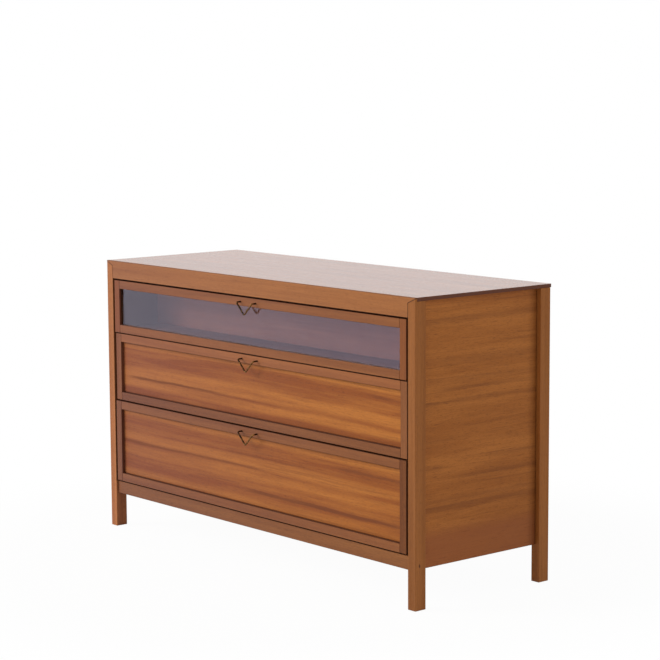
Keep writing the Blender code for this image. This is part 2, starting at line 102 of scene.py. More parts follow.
class ChestColours(bpy.types.PropertyGroup):
    """The tones of every finish."""

    post_light: tone("Post, light", "Pale grain of the four posts", 177, 112, 58)
    post_dark: tone("Post, dark", "Dark grain of the four posts", 151, 90, 40)
    rail_light: tone("Rail, light", "Pale grain of the carcass rails", 175, 113, 62)
    rail_dark: tone("Rail, dark", "Dark grain of the carcass rails", 150, 92, 49)
    top_light: tone("Top, light", "Pale grain of the top board", 178, 111, 76)
    top_dark: tone("Top, dark", "Dark grain of the top board", 143, 83, 58)
    top_edge: tone("Top edge", "Dark lipping on the ends of the top board", 104, 60, 42)
    side_light: tone("Side, light", "Pale grain of the side panels", 193, 120, 57)
    side_dark: tone("Side, dark", "Dark grain of the side panels", 161, 94, 41)
    side_red: tone("Side, red", "Red heartwood along the foot of the side panels", 156, 89, 51)
    front_light: tone("Drawer frame, light", "Pale grain of the drawer frames", 154, 96, 53)
    front_dark: tone("Drawer frame, dark", "Dark grain of the drawer frames", 128, 76, 42)
    stile_light: tone("Warm stile, light", "Pale grain of the warmer stiles", 154, 91, 44)
    stile_dark: tone("Warm stile, dark", "Dark grain of the warmer stiles", 128, 72, 35)
    panel_light: tone("Drawer panel, light", "Orange ribbons of the drawer panels", 184, 113, 47)
    panel_dark: tone("Drawer panel, dark", "Red brown ribbons of the drawer panels", 146, 79, 29)
    panel_red: tone("Drawer panel, red", "Redder wood at the left of the drawer panels", 141, 79, 61)
    # A painted sheen: cool reflected light added to the colour at the left of the front
    painted_sheen: tone("Haze", "Cool light lost in the finish, added at the left of the front", 0, 14, 40)
    streak: tone("Streak", "Thin dark streaks in all the wood", 102, 54, 30)
    # The dark of joints, edge lines and a knot, and painted shade in recesses, gaps, corners and inside the
    # top drawer
    shade: tone("Dark edge", "Grime in joints, recesses and gaps", 50, 15, 5)
    inner_light: tone("Inner wood, light", "Pale grain of drawer sides, backs and runners", 176, 124, 84)
    inner_dark: tone("Inner wood, dark", "Dark grain of drawer sides, backs and runners", 148, 98, 64)
    divider_light: tone("Divider, light", "Pale grain of divider and bottom behind the pane", 156, 91, 71)
    divider_dark: tone("Divider, dark", "Dark grain of divider and bottom behind the pane", 133, 74, 57)
    plywood_light: tone("Plywood, light", "Pale grain of other bottoms, back and dust panel", 190, 132, 84)
    plywood_dark: tone("Plywood, dark", "Dark grain of other bottoms, back and dust panel", 166, 106, 64)
    brass: tone("Brass", "Bare brass of the pulls, nuts and pins", 158, 112, 62)
    tarnish: tone("Tarnish", "Brown tarnish on the brass", 28, 14, 5)
    glass: tone("Glass", "Tint of the pane", 246, 250, 250)
    floor: tone("Floor", "Studio floor", 236, 236, 236)


class ChestSizes(bpy.types.PropertyGroup):
    """Sizes of the pieces that this script models."""

    wire: length("Wire", "Diameter of the pull's wire", 0.004)
    bend: length("Bend", "Radius of each bend, at the middle of the wire", 0.004)
    drop: length("Drop", "From the prongs to the point of the V", 0.030)
    thread: length("Thread", "Threaded length at the end of each prong", 0.0052)
    pitch: length("Thread pitch", "From one thread to the next", 0.0008)
    nut_flats: length("Nut", "Across the flats of each nut", 0.008)
    pin_head: length("Pin head", "Diameter of a panel pin's head", 0.0038)
    pin_spacing: length("Pin spacing", "From one panel pin to the next, at most", 0.160)


class ChestStage(bpy.types.PropertyGroup):
    """Camera, lamps and floor."""

    lens: number("Lens", "Focal length", 114.886, unit="CAMERA")
    place: bpy.props.FloatVectorProperty(
        name="Camera", description="Where the camera stands", subtype="TRANSLATION", unit="LENGTH",
        default=(4.00436, -3.35512, 1.24706))
    yaw: number("Yaw", "Turn to the left", 0.86577, subtype="ANGLE")
    pitch: number("Pitch", "Tilt downwards", 0.12981, subtype="ANGLE")
    roll: number("Roll", "Turn about the line of sight", -0.00522, subtype="ANGLE")
    key_power: number("Key", "Power of the large far lamp at the front left", 1300, unit="POWER")
    fill_power: number("Fill", "Power of the soft lamp at the right", 10, unit="POWER")
    room: number("Room light", "Even light from all round", 0.46)
    floor_size: length("Floor", "Width of the floor", 30)


# Shader maths

class Value:
    """A node's output. Arithmetic on it adds Math nodes to its tree."""

    def __init__(self, shader, output):
        self.shader = shader
        self.output = output

    def __add__(self, other):
        return self.shader.math("ADD", self, other)

    def __radd__(self, other):
        return self.shader.math("ADD", other, self)

    def __sub__(self, other):
        return self.shader.math("SUBTRACT", self, other)

    def __rsub__(self, other):
        return self.shader.math("SUBTRACT", other, self)

    def __mul__(self, other):
        return self.shader.math("MULTIPLY", self, other)

    def __truediv__(self, other):
        return self.shader.math("DIVIDE", self, other)

    def __abs__(self):
        return self.shader.math("ABSOLUTE", self)


def pick(sockets, key):
    """A socket by its number, its identifier or its name."""
    if isinstance(key, int):
        return sockets[key]
    for socket in sockets:
        if key in (socket.identifier, socket.name):
            return socket
    raise KeyError(f"no socket {key}")


class Shader:
    """A node tree that is being filled, for a material or the world."""

    def __init__(self, tree):
        self.tree = tree
        tree.nodes.clear()

    def node(self, kind, settings=None, sockets=None, out=0):
        """Adds a node, sets it up, feeds its sockets and returns one of its outputs, if it has any."""
        made = self.tree.nodes.new(kind)
        for name, setting in (settings or {}).items():
            if name == "stops":
                self.set_stops(made.color_ramp, setting)
            else:
                setattr(made, name, setting)
        for key, value in (sockets or {}).items():
            target = pick(made.inputs, key)
            if isinstance(value, Value):
                self.tree.links.new(value.output, target)
            elif target.type == "RGBA" and not isinstance(value, (int, float)):
                target.default_value = (*value[:3], 1)
            else:
                target.default_value = value
        if not len(made.outputs):
            return None
        return Value(self, pick(made.outputs, out))

    def set_stops(self, ramp, stops):
        """Gives a colour ramp grey stops, as (place, grey) pairs."""
        ramp.interpolation = "EASE"
        while len(ramp.elements) < len(stops):
            ramp.elements.new(1.0)
        for element, (place, grey) in zip(ramp.elements, stops):
            element.position = place
            element.color = (grey, grey, grey, 1)

    def math(self, operation, first, second=0.0):
        return self.node("ShaderNodeMath", {"operation": operation}, {0: first, 1: second})

    def least(self, first, second):
        return self.math("MINIMUM", first, second)

    def most(self, first, second):
        return self.math("MAXIMUM", first, second)

    def smooth(self, value, low, high):
        """0 below low, 1 above high and a soft step between them."""
        return self.node(
            "ShaderNodeMapRange", {"interpolation_type": "SMOOTHSTEP"},
            {"Value": value, "From Min": low, "From Max": high})

    def fade(self, value, low, high):
        """1 below low, 0 above high and a soft step between them."""
        return 1.0 - self.smooth(value, low, high)

    def mix(self, factor, first, second, blend="MIX"):
        """A colour between two colours."""
        return self.node(
            "ShaderNodeMix", {"data_type": "RGBA", "blend_type": blend, "clamp_factor": True},
            {"Factor_Float": factor, "A_Color": first, "B_Color": second}, "Result_Color")

    def times(self, colour, share):
        """A colour made lighter or darker."""
        return self.mix(1.0, colour, share, "MULTIPLY")

    def vector(self, operation, first, second, third=None):
        sockets = {0: first, 1: second}
        if third is not None:
            sockets[2] = third
        return self.node("ShaderNodeVectorMath", {"operation": operation}, sockets)

    def place(self):
        """Where a point is, in Object coordinates."""
        return self.node("ShaderNodeTexCoord", out="Object")

    def part(self, place, name):
        """One coordinate of a point."""
        return self.node("ShaderNodeSeparateXYZ", {}, {0: place}, name)

    def reach(self, place):
        """How far a point is from the origin."""
        return self.node("ShaderNodeVectorMath", {"operation": "LENGTH"}, {0: place}, "Value")

    def mapping(self, vector, scale, location=(0, 0, 0), rotation=(0, 0, 0)):
        return self.node(
            "ShaderNodeMapping", {},
            {"Vector": vector, "Location": location, "Rotation": rotation, "Scale": scale})

    def noise(self, vector, detail, roughness, out=0):
        return self.node(
            "ShaderNodeTexNoise", {"noise_dimensions": "3D"},
            {"Vector": vector, "Scale": 1.0, "Detail": detail, "Roughness": roughness}, out)

    def bump(self, height, strength, distance):
        return self.node(
            "ShaderNodeBump", {}, {"Height": height, "Strength": strength, "Distance": distance})

    def principled(self, **sockets):
        """The surface shader, its sockets named with underscores for spaces."""
        return self.node(
            "ShaderNodeBsdfPrincipled", {},
            {name.replace("_", " "): value for name, value in sockets.items()})

    def show(self, surface, output="ShaderNodeOutputMaterial"):
        self.node(output, {}, {"Surface": surface})


def new_material(name):
    """An empty material and the shader that fills it."""
    material = bpy.data.materials.new(name)
    material.use_nodes = True
    return material, Shader(material.node_tree)


def dress(node, material):
    """Puts a material on a CAD node."""
    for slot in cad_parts[node].material_slots:
        slot.material = material


# Wood

Grain = namedtuple("Grain", (
    "wander",       # how far the grain strays from straight, in metres
    "ribbon_slow",  # ribbons in a metre along the grain
    "ribbon_fast",  # ribbons in a metre across it
    "contrast",     # how sharply the two tones part
    "streak",       # strength of the thin dark streaks
    "pore",         # strength of the open pores
    "roughness",    # of the finish
))
STRAIGHT = Grain(0.003, 1.3, 60, 0.64, 0.12, 0.24, 0.42)
RAIL = Grain(0.006, 1.1, 42, 0.64, 0.14, 0.24, 0.42)
FLAT_SAWN = Grain(0.016, 1.6, 20, 0.672, 0.12, 0.22, 0.30)
SIDE = Grain(0.010, 2.2, 30, 0.608, 0.26, 0.30, 0.42)
RIBBON = Grain(0.010, 1.8, 44, 1.60, 0.30, 0.30, 0.40)
CALM_RIBBON = RIBBON._replace(contrast=1.312)
INNER = Grain(0.006, 1.2, 46, 0.80, 0.12, 0.20, 0.60)
PLY = Grain(0.030, 1.4, 16, 0.96, 0.12, 0.18, 0.65)

# Noise with slow changes in a metre along the grain and fast ones across it
Layer = namedtuple("Layer", "slow fast detail roughness")
WAVE = Layer(1.3, 5.0, 2.0, 0.5)
LINE = Layer(2.4, 150, 2.0, 0.6)
FIBRE = Layer(18, 640, 2.0, 0.6)
PORE = Layer(90, 1500, 1.0, 0.5)
RUB_AND_LIGHT = Layer(60, 60, 3.0, 0.6)
RIBBON_DETAIL = 5.0, 0.66

# Noise values between which each mark comes in
RIBBON_STEP = 0.33, 0.67
LINE_STEP = 0.56, 0.74
PORE_STEP = 0.56, 0.70
RUB_AND_LIGHT_STEP = 0.36, 0.66

SEED_STEP = 1.37, 2.11, 0.73  # how far one seed moves the noise along X, Y and Z
BAND_SHARE = 0.54             # how much of a banded board's ribbons its bands decide
FIBRE_SHADE = 0.34            # how far the fibres lighten and darken the colour
EDGE_RUB_AND_LIGHT = 0.0003, 0.0020     # where the pale rubbing of a worn edge, also a painted highlight, is full and ends, in metres from it
RUB_AND_LIGHT_STRENGTH = 0.30
EDGE_LINE = 0.0003, 0.0011    # the same for the dark line on other edges
LINE_STRENGTH = 0.75


def edge_distance(shader, place, low, high):
    """How far a point on a squared board is from its nearest edge."""
    gaps = []
    for axis, name in enumerate("XYZ"):
        middle = (low[axis] + high[axis]) / 2
        half = (high[axis] - low[axis]) / 2
        gaps.append(half - abs(shader.part(place, name) - middle))
    nearer = shader.least(gaps[0], gaps[1])
    farther = shader.most(gaps[0], gaps[1])
    return shader.most(nearer, shader.least(farther, gaps[2]))


def wood(node, axis, seed, finish, tones, grain, coat=0.0, bands=None, level=1.0, worn_and_lit=False, extra=None):
    """A finish for one board: ribbons, streaks, fibres and pores along its grain. finish names its tones,
    bands places the main ribbons over the board's height, level makes the whole board lighter or darker,
    worn rubs its edges pale, as wear and as a painted highlight, where they are dark otherwise, and extra
    may repaint the colour. coat is a weight or a function that makes one."""
    material, shader = new_material(node + "_wood")
    low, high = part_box(node)
    light = getattr(tones, finish + "_light")
    dark = getattr(tones, finish + "_dark")
    place = shader.place()
    shift = [seed * step for step in SEED_STEP]

    def along(layer, source, out=0):
        """Noise drawn out along the grain."""
        scale = [layer.fast] * 3
        scale[axis] = layer.slow
        return shader.noise(shader.mapping(source, scale, shift), layer.detail, layer.roughness, out)

    stray = [grain.wander * 2] * 3
    stray[axis] = 0
    wave = shader.vector("SUBTRACT", along(WAVE, place, "Color"), (0.5, 0.5, 0.5))
    bent = shader.vector("MULTIPLY_ADD", wave, stray, place)

    ribbon = along(Layer(grain.ribbon_slow, grain.ribbon_fast, *RIBBON_DETAIL), bent)
    ribbon = shader.smooth(ribbon, *RIBBON_STEP)
    if bands:
        height = (shader.part(bent, "Z") - low[Z]) / (high[Z] - low[Z])
        broad = shader.node("ShaderNodeValToRGB", {"stops": bands}, {"Fac": height}, "Color")
        ribbon = ribbon * (1.0 - BAND_SHARE) + broad * BAND_SHARE
    ribbon = 0.5 + (ribbon - 0.5) * grain.contrast
    colour = shader.mix(ribbon, dark, light)

    line = shader.smooth(along(LINE, bent), *LINE_STEP) * grain.streak
    colour = shader.mix(line, colour, tones.streak)

    fibre = along(FIBRE, bent)
    pore = shader.smooth(along(PORE, bent), *PORE_STEP)
    colour = shader.times(colour, level + (fibre - 0.5) * FIBRE_SHADE - pore * grain.pore)

    if extra:
        colour = extra(shader, place, bent, colour)

    edge = edge_distance(shader, place, low, high)
    # Worn edges are rubbed pale, as wear and as a painted highlight along them; other edges get a dark line
    rubbed_and_lit = shader.fade(edge, *EDGE_RUB_AND_LIGHT) * shader.smooth(along(RUB_AND_LIGHT, place), *RUB_AND_LIGHT_STEP)
    if worn_and_lit:
        colour = shader.mix(rubbed_and_lit * RUB_AND_LIGHT_STRENGTH, colour, light)
    else:
        colour = shader.mix(shader.fade(edge, *EDGE_LINE) * LINE_STRENGTH, colour, tones.shade)

    if callable(coat):
        coat = coat(shader, place)
    rough = grain.roughness + (fibre - 0.5) * 0.20 + pore * 0.10 - rubbed_and_lit * 0.08
    relief = fibre * 0.5 - pore
    surface = shader.principled(
        Base_Color=colour, Roughness=rough, IOR=1.45, Specular_IOR_Level=0.16,
        Coat_Weight=coat, Coat_Roughness=0.16, Coat_IOR=1.5,
        Normal=shader.bump(relief, 0.35, 0.0002))
    shader.show(surface)
    dress(node, material)


Streak = namedtuple("Streak", "start end height width strength")
STREAK_RAGS = 14, 14, 240  # changes in a metre of a streak's ragged edge
STREAK_RISE = 0.08         # the length over which a streak comes in
STREAK_FALL = 0.12         # the length over which it goes out


def paint_streaks(shader, place, swayed, run, marks, colour, dark):
    """Long ragged streaks. run is the coordinate along the grain, swayed the height of the bent grain."""
    ragged = shader.noise(shader.mapping(place, STREAK_RAGS), 3.0, 0.6) - 0.5
    for mark in marks:
        near = abs(swayed - mark.height + ragged * mark.width * 1.5)
        share = shader.fade(near, mark.width * 0.15, mark.width)
        share = share * shader.smooth(run, mark.start, mark.start + STREAK_RISE)
        share = share * shader.fade(run, mark.end - STREAK_FALL, mark.end)
        colour = shader.mix(share * mark.strength, colour, dark)
    return colour


SHEEN_SPAN = -0.9, 0.9  # where the painted sheen on the front is full and ends
LEFT_PAINTED_SHADE = 0.14    # how much darker painted shade makes the wood where the sheen is full


def add_painted_sheen(shader, place, colour, tones):
    """A painted cool sheen over the front, strongest at its left end, where painted shade makes the wood a
    little darker too.
    """
    left = shader.fade(shader.part(place, "X"), *SHEEN_SPAN)
    colour = shader.times(colour, 1.0 - left * LEFT_PAINTED_SHADE)
    return shader.mix(left, colour, tones.painted_sheen, "ADD")


MITRE_INNER_DROP = 0.0135         # from the rail's top to the mitre, at the post's inner face
MITRE_OUTER_DROP = 0.0025         # the same at its outer face
MITRE_STRENGTH = 0.80             # of the dark line along the mitre
RAIL_MITRE_LINE = 0.0004, 0.0018  # where that line is full and ends, in metres from the joint
POST_MITRE_LINE = 0.0003, 0.0014


def mitre_joint(shader, place):
    """How far a point is from the joint between the front top rail and its post, which rises upright and
    then in a low slope."""
    low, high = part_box("front_top_rail")
    inner = abs(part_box("front_left_post")[1][X])
    foot = high[Z] - MITRE_INNER_DROP
    run = high[X] - inner
    rise = MITRE_INNER_DROP - MITRE_OUTER_DROP
    span = math.hypot(run, rise)
    across = abs(shader.part(place, "X")) - inner
    height = shader.part(place, "Z") - foot
    upright = shader.most(abs(across), shader.most(height, (low[Z] - foot) - height))
    slope = shader.most(abs(height * (run / span) - across * (rise / span)), 0.0 - across)
    return shader.least(upright, slope)


def paint_mitre(shader, place, colour, tones, line):
    """The dark line of the mitre at each end of the front top rail."""
    share = shader.fade(mitre_joint(shader, place), *line) * MITRE_STRENGTH
    return shader.mix(share, colour, tones.shade)


def rail_paint(tones):
    """A painted sheen and painted shade at the left end, and the dark line of the mitres, on a front rail.
    """

    def paint(shader, place, bent, colour):
        colour = add_painted_sheen(shader, place, colour, tones)
        return paint_mitre(shader, place, colour, tones, RAIL_MITRE_LINE)

    return paint


# Painted light and shade on each front post
PostShading = namedtuple("PostShading", (
    "face",   # painted light and shade: how bright the front face is beside the other faces, at the top
    "foot",   # the same at the foot
    "grime",  # strength of the painted shade beside the drawers
    "reach",  # how far that painted shade comes over the edge, in metres
))
POST_SHADING = {
    "front_left_post": PostShading(1.12, 1.36, 0.55, 0.0011),
    "front_right_post": PostShading(0.86, 0.71, 0.90, 0.0020),
}
PAINTED_FACE_DEPTH = 0.0002, 0.0008  # where the front face's painted light and shade is full and ends, in metres
SHADE_START = 0.0005         # how far the painted shade beside the drawers is full
SHADE_END = 0.001            # half the height over which it ends at the rails
KNOT_BACK = 0.0128           # from a post's front to the knot
KNOT_HEIGHT = 0.1035
KNOT_SCALE = 20, 420, 190    # the knot reaches about one unit at this scale
KNOT_SLANT = -0.55


def paint_knot(shader, place, colour, tones, middle):
    """A small slanting knot on the outer face of a post."""
    spot = shader.vector("SUBTRACT", place, middle)
    spot = shader.mapping(spot, KNOT_SCALE, rotation=(KNOT_SLANT, 0, 0))
    return shader.mix(shader.fade(shader.reach(spot), 0.5, 1.2) * 0.8, colour, tones.shade)


def front_post_paint(node, tones):
    """Painted light on the left post's front face and painted shade on the right one's, a painted sheen at
    the left, painted shade beside the drawers, the dark line of its mitre, and a knot on the right post."""
    low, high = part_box(node)
    inner = min(abs(low[X]), abs(high[X]))
    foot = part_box("front_bottom_rail")[1][Z]
    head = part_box("front_top_rail")[0][Z]
    look = POST_SHADING[node]

    def paint(shader, place, bent, colour):
        height = shader.part(place, "Z")
        # Painted light on the left post's front face and painted shade on the right one's, changing from
        # top to foot
        front = shader.fade(shader.part(place, "Y"), low[Y] + PAINTED_FACE_DEPTH[0], low[Y] + PAINTED_FACE_DEPTH[1])
        change = (look.face - 1.0) - shader.fade(height, 0.0, high[Z]) * (look.face - look.foot)
        colour = shader.times(colour, 1.0 + front * change)
        colour = add_painted_sheen(shader, place, colour, tones)
        # Painted shade on the inner edges beside the drawers
        beside = shader.fade(abs(shader.part(place, "X")), inner + SHADE_START, inner + look.reach)
        beside = beside * shader.smooth(height, foot - SHADE_END, foot + SHADE_END)
        beside = beside * shader.fade(height, head - SHADE_END, head + SHADE_END)
        colour = shader.mix(beside * look.grime, colour, tones.shade)
        colour = paint_mitre(shader, place, colour, tones, POST_MITRE_LINE)
        if node == "front_right_post":
            middle = (high[X], low[Y] + KNOT_BACK, KNOT_HEIGHT)
            colour = paint_knot(shader, place, colour, tones, middle)
        return colour

    return paint


SIDE_STREAKS = (
    Streak(-0.30, 0.40, 0.652, 0.012, 0.24), Streak(-0.30, 0.40, 0.557, 0.014, 0.18),
    Streak(-0.22, 0.40, 0.512, 0.012, 0.16), Streak(-0.16, 0.22, 0.492, 0.008, 0.18),
    Streak(-0.30, 0.40, 0.466, 0.008, 0.26), Streak(-0.30, 0.02, 0.382, 0.007, 0.18),
    Streak(-0.30, -0.06, 0.320, 0.011, 0.30), Streak(-0.02, 0.40, 0.330, 0.008, 0.18),
    Streak(-0.10, 0.40, 0.292, 0.008, 0.28), Streak(-0.30, 0.40, 0.243, 0.008, 0.20),
    Streak(-0.30, 0.40, 0.225, 0.010, 0.30))
HEARTWOOD = 0.150, 0.195   # heights below which the heartwood is full and above which it ends
HEARTWOOD_STRENGTH = 0.70
FLECKS = 200, 34, 420      # flecks in a metre along X, Y and Z
FLECK_STEP = 0.64, 0.74
FLECK_STRENGTH = 0.35

# A band of painted shade along an edge
Grime = namedtuple("Grime", "full end strength")  # full and end are in metres from an edge
# Painted shade on a side panel by its back post: a broad soft one, and a narrow dark one at the joint
BACK_SHADE = Grime(0.0, 0.034, 0.46), Grime(0.001, 0.005, 0.45)


def side_panel_paint(side, tones):
    """Red heartwood along the foot of a side panel, its streaks and flecks, and painted shade by the back
    post.
    """
    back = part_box(f"back_{side}_post")[0][Y]

    def paint(shader, place, bent, colour):
        height = shader.part(bent, "Z")
        depth = shader.part(place, "Y")
        colour = shader.mix(shader.fade(height, *HEARTWOOD) * HEARTWOOD_STRENGTH, colour, tones.side_red)
        colour = paint_streaks(shader, place, height, depth, SIDE_STREAKS, colour, tones.streak)
        fleck = shader.noise(shader.mapping(bent, FLECKS), 1.0, 0.5)
        colour = shader.mix(shader.smooth(fleck, *FLECK_STEP) * FLECK_STRENGTH, colour, tones.streak)
        for grime in BACK_SHADE:
            share = shader.fade(back - depth, grime.full, grime.end) * grime.strength
            colour = shader.mix(share, colour, tones.shade)
        return colour

    return paint


RAIL_LEVELS = {
    "front_top_rail": 1.0,
    "front_bottom_rail": 0.75,
    "back_top_rail": 0.9,
    "back_bottom_rail": 0.9,
}
LIPPING = 0.0011, 0.0007  # from the top's end to where its lipping begins and is full
VARNISH = 0.62            # weight of the coat on the top


def carcass_wood(context):
    """Posts, rails, top and side panels."""
    tones = context.scene.chest_colours
    half = CAD_BOX[1][X]
    seed = 1.0
    for depth in ("front", "back"):
        for side in SIDES:
            node = f"{depth}_{side}_post"
            extra = front_post_paint(node, tones) if depth == "front" else None
            wood(node, Z, seed, "post", tones, STRAIGHT, worn_and_lit=True, extra=extra)
            seed += 1.0
    for node, level in RAIL_LEVELS.items():
        extra = rail_paint(tones) if "front" in node else None
        wood(node, X, seed, "rail", tones, RAIL, level=level, extra=extra)
        seed += 1.0

    def on_end(shader, place):
        return shader.smooth(abs(shader.part(place, "X")), half - LIPPING[0], half - LIPPING[1])

    def lipping(shader, place, bent, colour):
        return shader.mix(on_end(shader, place), colour, tones.top_edge)

    def varnish(shader, place):
        return (1.0 - on_end(shader, place)) * VARNISH

    wood("top_board", X, seed, "top", tones, FLAT_SAWN, coat=varnish, worn_and_lit=True, extra=lipping)
    for side in SIDES:
        seed += 1.0
        wood(f"{side}_side_panel", Y, seed, "side", tones, SIDE, extra=side_panel_paint(side, tones))


# Drawer fronts, glass and boxes

MIDDLE_BANDS = (
    (0.00, 0.10), (0.10, 0.12), (0.18, 0.95), (0.25, 0.90), (0.31, 0.45), (0.38, 0.95), (0.50, 0.90),
    (0.56, 0.25), (0.68, 0.30), (0.76, 0.05), (0.85, 0.10), (0.90, 0.85), (0.96, 0.90), (1.00, 0.55))
BOTTOM_BANDS = (
    (0.00, 0.45), (0.08, 0.80), (0.16, 0.30), (0.23, 0.10), (0.32, 0.35), (0.40, 0.95), (0.47, 0.85),
    (0.51, 0.20), (0.58, 0.85), (0.64, 0.80), (0.70, 0.25), (0.78, 0.05), (0.85, 0.25), (0.91, 0.95),
    (1.00, 0.60))
PANELS = (
    ("middle_drawer", MIDDLE_BANDS, RIBBON, 1.0),
    ("bottom_drawer", BOTTOM_BANDS, CALM_RIBBON, 0.98))

STREAKS = {
    "middle_drawer": (
        Streak(-0.55, -0.08, 0.409, 0.0060, 0.70), Streak(-0.20, 0.20, 0.406, 0.0040, 0.25),
        Streak(0.12, 0.30, 0.432, 0.0030, 0.30), Streak(0.40, 0.58, 0.472, 0.0060, 0.45)),
    "bottom_drawer": (
        Streak(-0.60, 0.10, 0.239, 0.0050, 0.50), Streak(-0.12, 0.30, 0.269, 0.0040, 0.32),
        Streak(0.00, 0.56, 0.252, 0.0035, 0.28), Streak(-0.06, 0.62, 0.183, 0.0075, 0.60),
        Streak(0.28, 0.62, 0.288, 0.0055, 0.45)),
}
RED_SPAN = -0.60, 0.25  # where the redder wood of a panel is full and ends
RED_STRENGTH = 0.14
PANEL_SHADE = (
    Grime(0.0004, 0.0026, 0.80),  # painted shade in the recess along the foot
    Grime(0.0, 0.0018, 0.55),     # painted shadow of the stiles at the ends
    Grime(0.0, 0.0040, 0.30),     # painted shadow of the upper rail along the head
)

FRAME_PIECES = (
    ("left_stile", Z, STRAIGHT), ("right_stile", Z, STRAIGHT),
    ("lower_rail", X, RAIL), ("upper_rail", X, RAIL))
FRAME_LEVELS = {
    "top_drawer_left_stile": 1.08,
    "top_drawer_upper_rail": 1.04,
    "middle_drawer_right_stile": 0.94,
    "middle_drawer_upper_rail": 1.30,
    "middle_drawer_lower_rail": 0.87,
    "bottom_drawer_left_stile": 0.90,
    "bottom_drawer_right_stile": 0.66,
    "bottom_drawer_upper_rail": 0.96,
    "bottom_drawer_lower_rail": 1.03,
}
WARM_STILES = ("top_drawer_left_stile", "top_drawer_right_stile", "bottom_drawer_right_stile")
RAIL_SHADE = 0.72               # strength of the painted shade on a rail's narrow faces
STILE_SHADE = 0.45              # the same on a stile
NARROW_FACE = 0.0010, 0.0004    # where that painted shade is full and ends, in metres from the front
RAIL_JOINT = 0.0006, 0.0024     # where the dark joint at a rail's end is full and ends, in metres
RAIL_JOINT_STRENGTH = 0.85

BOX_PIECES = (("left_side", Y), ("right_side", Y), ("back", X), ("left_runner", Y), ("right_runner", Y))
BEADS = (("lower", X), ("upper", X), ("left", Z), ("right", Z))
# Painted shade: how dark the beads round the pane are made
BEAD_SHADE = 0.3
TOP_BOTTOM_SHADE = 0.33         # painted shade: how bright the bottom behind the pane is made
INSIDE_SHADE_DEPTH = 0.0001, 0.0006    # where the painted shade inside the top drawer is full and ends, in metres
INSIDE_SHADE_STRENGTH = 0.85
DIVIDER_SHADE_FADE = -0.004, 0.070    # heights over the divider's foot where its painted shade is full and ends
DIVIDER_FOOT_SHADE = 0.72       # how bright painted shade leaves its foot beside the rest

DUST = 0.82, 0.83, 0.84
DUST_SCALE = 9, 9, 14


def frame_paint(node, tones):
    """A painted sheen and painted shade at the left end, painted shade on the narrow faces of a front's
    frame, which look at the panel and the gaps, and the dark joint at each end of its rails."""
    low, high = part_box(node)
    middle = (low[Y] + high[Y]) / 2
    half = (high[Y] - low[Y]) / 2
    rail = "rail" in node
    strength = RAIL_SHADE if rail else STILE_SHADE

    def paint(shader, place, bent, colour):
        colour = add_painted_sheen(shader, place, colour, tones)
        depth = abs(shader.part(place, "Y") - middle)
        # Painted shade on the narrow faces, which look at the panel and the gaps
        grime = shader.fade(depth, half - NARROW_FACE[0], half - NARROW_FACE[1])
        colour = shader.mix(grime * strength, colour, tones.shade)
        if rail:
            joint = shader.fade(high[X] - abs(shader.part(place, "X")), *RAIL_JOINT)
            colour = shader.mix(joint * RAIL_JOINT_STRENGTH, colour, tones.shade)
        return colour

    return paint


def panel_paint(drawer, tones):
    """Redder wood at the left of a panel, a painted sheen and painted shade there, its long dark streaks,
    and painted shade round its edge.
    """
    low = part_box(drawer + "_lower_rail")[1][Z]
    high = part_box(drawer + "_upper_rail")[0][Z]
    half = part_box(drawer + "_right_stile")[0][X]

    def paint(shader, place, bent, colour):
        across = shader.part(place, "X")
        height = shader.part(place, "Z")
        swayed = shader.part(bent, "Z")
        colour = shader.mix(shader.fade(across, *RED_SPAN) * RED_STRENGTH, colour, tones.panel_red)
        colour = add_painted_sheen(shader, place, colour, tones)
        colour = paint_streaks(shader, place, swayed, across, STREAKS[drawer], colour, tones.streak)
        # Painted shade in the recess round the panel's edge
        gaps = (height - low, half - abs(across), high - height)
        recess_shade = 0.0
        for gap, grime in zip(gaps, PANEL_SHADE):
            recess_shade = shader.most(shader.fade(gap, grime.full, grime.end) * grime.strength, recess_shade)
        return shader.mix(recess_shade, colour, tones.shade)

    return paint


def paint_inside_shade(node, tones):
    """Painted shade on the face of a box side that looks into the drawer."""
    low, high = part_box(node)
    inner = min(abs(low[X]), abs(high[X]))

    def paint(shader, place, bent, colour):
        across = abs(shader.part(place, "X"))
        inside = shader.fade(across, inner + INSIDE_SHADE_DEPTH[0], inner + INSIDE_SHADE_DEPTH[1])
        return shader.mix(inside * INSIDE_SHADE_STRENGTH, colour, tones.shade)

    return paint


def paint_divider_shade(shader, place, bent, colour):
    """Painted shade that darkens the board behind the pane softly towards its foot."""
    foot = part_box("top_drawer_divider")[0][Z]
    height = shader.smooth(shader.part(place, "Z"), foot + DIVIDER_SHADE_FADE[0], foot + DIVIDER_SHADE_FADE[1])
    return shader.times(colour, DIVIDER_FOOT_SHADE + height * (1.0 - DIVIDER_FOOT_SHADE))


def glass_pane(context):
    """Clear thin glass with a little dust, which lets lamps light what is behind it."""
    tones = context.scene.chest_colours
    material, shader = new_material("pane_glass")
    dust = shader.noise(shader.mapping(shader.place(), DUST_SCALE), 4.0, 0.6)
    dust = shader.smooth(dust, 0.50, 0.80)
    clean = shader.principled(
        Base_Color=shader.mix(dust * 0.4, tones.glass, DUST), Roughness=0.0,
        IOR=1.6, Specular_Tint=(0.72, 0.62, 0.94, 1), Transmission_Weight=1.0)
    open_way = shader.node("ShaderNodeBsdfTransparent", {}, {"Color": tones.glass})
    shadow = shader.node("ShaderNodeLightPath", out="Is Shadow Ray")
    shader.show(shader.node("ShaderNodeMixShader", {}, {0: shadow, 1: clean, 2: open_way}))
    dress("top_drawer_glass", material)


